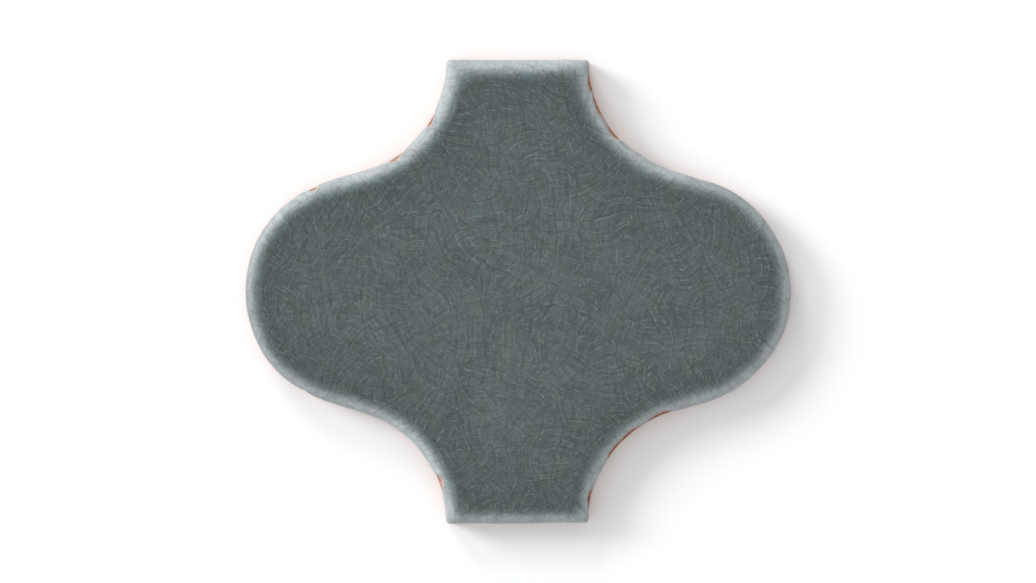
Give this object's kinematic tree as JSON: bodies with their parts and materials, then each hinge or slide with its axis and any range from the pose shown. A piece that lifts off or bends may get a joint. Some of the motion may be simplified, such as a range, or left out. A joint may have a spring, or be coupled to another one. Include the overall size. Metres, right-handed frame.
{
  "type": "ceramic tile",
  "caption": "Lantern-shaped ceramic tile with wide side lobes, flat neck ends, a cushioned glazed face and a grooved back for adhesive.",
  "frame": {"origin": "centre of the back, on the plane the tile lies on", "axes": "+X from lobe to lobe, +Y from neck end to neck end, +Z out of the glazed face"},
  "size_m": [0.175, 0.149, 0.0095],
  "materials": {
    "glazed_red_clay": "gloss",
    "bare_red_clay": "matte"
  },
  "bodies": {
    "root": {"tile": "glazed_red_clay"}
  },
  "joints": []
}
